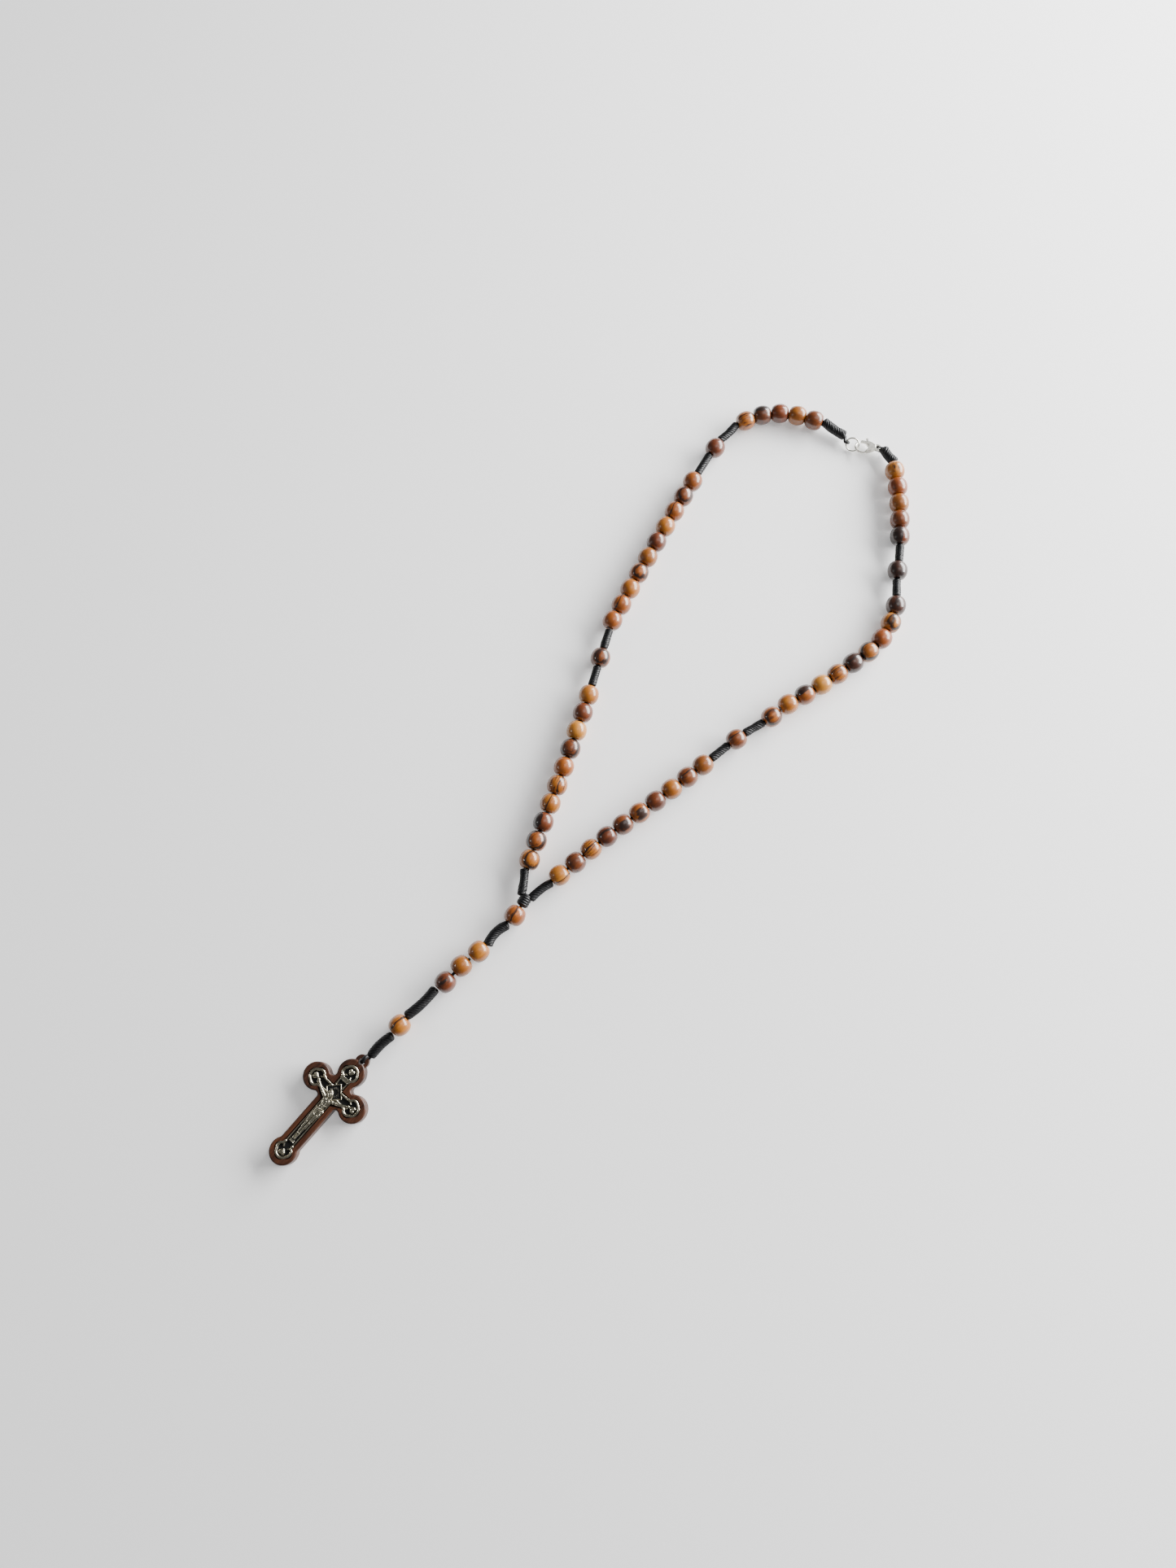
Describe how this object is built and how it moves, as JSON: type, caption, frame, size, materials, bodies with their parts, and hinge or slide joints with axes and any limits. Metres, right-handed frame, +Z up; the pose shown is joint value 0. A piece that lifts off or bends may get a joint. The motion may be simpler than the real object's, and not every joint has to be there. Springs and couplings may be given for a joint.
{
  "type": "rosary",
  "caption": "Laid-out string of round lacquered wooden beads and wrapped black knots closing in a clasp, with a pendant that ends in an inlaid wooden crucifix",
  "frame": {"origin": "on the back face of the wooden cross, where its arms meet", "axes": "+Y up the cross towards the clasp, +Z up from the table, +X to the right seen from the front"},
  "size_m": [0.1129, 0.3704, 0.008],
  "materials": {
    "beads": "gloss lacquer",
    "cord": "waxed cord",
    "cross_wood": "satin",
    "antique_silver": "antiqued",
    "nickel": "polished"
  },
  "bodies": {
    "junction": {"junction_wrap": "cord", "cord_junction": "cord"},
    "left_arm": {"cord_left_lower": "cord", "left_knot_1": "cord", "left_decade_1_beads_1_to_5": "beads", "left_decade_1_beads_6_to_10": "beads", "left_knot_2": "cord", "left_knot_3": "cord"},
    "left_forearm": {"cord_left_upper": "cord", "left_decade_2_beads_1_to_5": "beads", "left_decade_2_beads_6_to_10": "beads", "left_knot_4": "cord", "left_knot_5": "cord", "left_half_decade": "beads", "knot_at_ring": "cord", "ring_loop": "cord"},
    "right_arm": {"cord_right_lower": "cord", "right_knot_1": "cord", "right_decade_1_beads_1_to_5": "beads", "right_decade_1_beads_6_to_10": "beads", "right_knot_2": "cord", "right_knot_3": "cord", "right_decade_2_bead_1": "beads"},
    "right_forearm": {"cord_right_upper": "cord", "right_decade_2_beads_2_to_5": "beads", "right_decade_2_beads_6_to_10": "beads", "right_knot_4": "cord", "right_knot_5": "cord", "right_half_decade": "beads", "knot_at_clasp": "cord", "clasp_loop": "cord"},
    "jump_ring": {"jump_ring": "nickel"},
    "clasp": {"clasp_body": "nickel", "clasp_pin": "nickel", "clasp_spring": "nickel"},
    "clasp_lever": {"clasp_lever": "nickel"},
    "pendant_upper": {"cord_pendant_upper": "cord", "knot_below_junction": "cord"},
    "pendant_middle": {"cord_pendant_middle": "cord"},
    "pendant_lower": {"cord_pendant_lower": "cord", "knot_below_hail_marys": "cord"},
    "cross_tie": {"cord_cross_tie": "cord", "cross_tie_knot": "cord", "cross_loop": "cord"},
    "crucifix": {"wood_cross": "cross_wood", "metal_crucifix": "antique_silver"},
    "our_father_bead_1": {"our_father_bead_1": "beads"},
    "our_father_bead_2": {"our_father_bead_2": "beads"},
    "our_father_bead_3": {"our_father_bead_3": "beads"},
    "our_father_bead_4": {"our_father_bead_4": "beads"},
    "our_father_bead_5": {"our_father_bead_5": "beads"},
    "our_father_bead_6": {"our_father_bead_6": "beads"},
    "hail_mary_bead_1": {"hail_mary_bead_1": "beads"},
    "hail_mary_bead_2": {"hail_mary_bead_2": "beads"},
    "hail_mary_bead_3": {"hail_mary_bead_3": "beads"}
  },
  "joints": [
    {"name": "loop_opening", "type": "hinge", "parent": "junction", "child": "left_arm", "pos_m": [0.00602, 0.0985, 0.004], "axis": [0, 0, 1], "range_deg": [-2, 8]},
    {"name": "loop_opening_right", "type": "hinge", "parent": "junction", "child": "right_arm", "pos_m": [0.00602, 0.0985, 0.004], "axis": [0, 0, 1], "range_deg": [-8, 2]},
    {"name": "left_elbow", "type": "hinge", "parent": "left_arm", "child": "left_forearm", "pos_m": [-0.04248, 0.2065, 0.004], "axis": [0, 0, 1], "range_deg": [-16, 4]},
    {"name": "right_elbow", "type": "hinge", "parent": "right_arm", "child": "right_forearm", "pos_m": [0.03352, 0.2235, 0.004], "axis": [0, 0, 1], "range_deg": [-4, 16]},
    {"name": "clasp_lever_opening", "type": "hinge", "parent": "clasp", "child": "clasp_lever", "pos_m": [-0.01185, 0.33531, 0.00237], "axis": [-0.0996, 0.1422, 0.9848], "range_deg": [0, 22], "stiffness_Nm_per_rad": 0.0002, "springref_deg": -20.05},
    {"name": "clasp_swing", "type": "hinge", "parent": "right_forearm", "child": "clasp", "pos_m": [-0.00826, 0.3362, 0.0026], "axis": [-0.0996, 0.1422, 0.9848], "range_deg": [-3, 3]},
    {"name": "crucifix_lift", "type": "hinge", "parent": "pendant_lower", "child": "cross_tie", "pos_m": [0.0017, 0.03327, 0.004], "axis": [-0.9959, 0.0906, 0], "range_deg": [0, 60]},
    {"name": "crucifix_swing", "type": "hinge", "parent": "cross_tie", "child": "crucifix", "pos_m": [0, 0.0146, 0.0029], "axis": [0, 0, 1], "range_deg": [-25, 25]},
    {"name": "pendant_swing", "type": "hinge", "parent": "junction", "child": "pendant_upper", "pos_m": [0.00714, 0.09169, 0.004], "axis": [0, 0, 1], "range_deg": [-35, 35]},
    {"name": "pendant_lift", "type": "hinge", "parent": "pendant_upper", "child": "pendant_middle", "pos_m": [0.00574, 0.07269, 0.004], "axis": [-0.9869, 0.1616, 0], "range_deg": [0, 60]},
    {"name": "pendant_bend", "type": "hinge", "parent": "pendant_middle", "child": "pendant_lower", "pos_m": [0.0039, 0.05612, 0.004], "axis": [0, 0, 1], "range_deg": [-25, 25]},
    {"name": "ring_turn", "type": "hinge", "parent": "left_forearm", "child": "jump_ring", "pos_m": [-0.01713, 0.33104, 0.0026], "axis": [0.1593, -0.7493, 0.6428], "continuous": true},
    {"name": "spin_our_father_bead_1", "type": "hinge", "parent": "junction", "child": "our_father_bead_1", "pos_m": [0.00714, 0.09169, 0.004], "axis": [-0.1616, 0.9869, 0], "continuous": true},
    {"name": "spin_our_father_bead_2", "type": "hinge", "parent": "pendant_lower", "child": "our_father_bead_2", "pos_m": [0.0017, 0.03327, 0.004], "axis": [0.0958, 0.9954, 0], "continuous": true},
    {"name": "spin_our_father_bead_3", "type": "hinge", "parent": "left_arm", "child": "our_father_bead_3", "pos_m": [-0.03579, 0.19127, 0.004], "axis": [-0.4064, 0.9137, 0], "continuous": true},
    {"name": "spin_our_father_bead_4", "type": "hinge", "parent": "left_forearm", "child": "our_father_bead_4", "pos_m": [-0.05995, 0.29313, 0.004], "axis": [-0.0682, 0.9977, 0], "continuous": true},
    {"name": "spin_our_father_bead_5", "type": "hinge", "parent": "right_arm", "child": "our_father_bead_5", "pos_m": [0.02712, 0.19934, 0.004], "axis": [0.2437, 0.9699, 0], "continuous": true},
    {"name": "spin_our_father_bead_6", "type": "hinge", "parent": "right_forearm", "child": "our_father_bead_6", "pos_m": [0.03196, 0.2961, 0.004], "axis": [-0.5591, 0.8291, 0], "continuous": true},
    {"name": "spin_hail_mary_bead_1", "type": "hinge", "parent": "pendant_upper", "child": "hail_mary_bead_1", "pos_m": [0.00574, 0.07269, 0.004], "axis": [0.0732, 0.9973, 0], "continuous": true},
    {"name": "spin_hail_mary_bead_2", "type": "hinge", "parent": "pendant_middle", "child": "hail_mary_bead_2", "pos_m": [0.00439, 0.06445, 0.004], "axis": [0.1616, 0.9869, 0], "continuous": true},
    {"name": "spin_hail_mary_bead_3", "type": "hinge", "parent": "pendant_middle", "child": "hail_mary_bead_3", "pos_m": [0.0039, 0.05612, 0.004], "axis": [0.0593, 0.9982, 0], "continuous": true}
  ],
  "couplings": [
    {"joint": "loop_opening_right", "follows": "loop_opening", "ratio": -1},
    {"joint": "left_elbow", "follows": "loop_opening", "ratio": -2},
    {"joint": "right_elbow", "follows": "loop_opening", "ratio": 2}
  ]
}
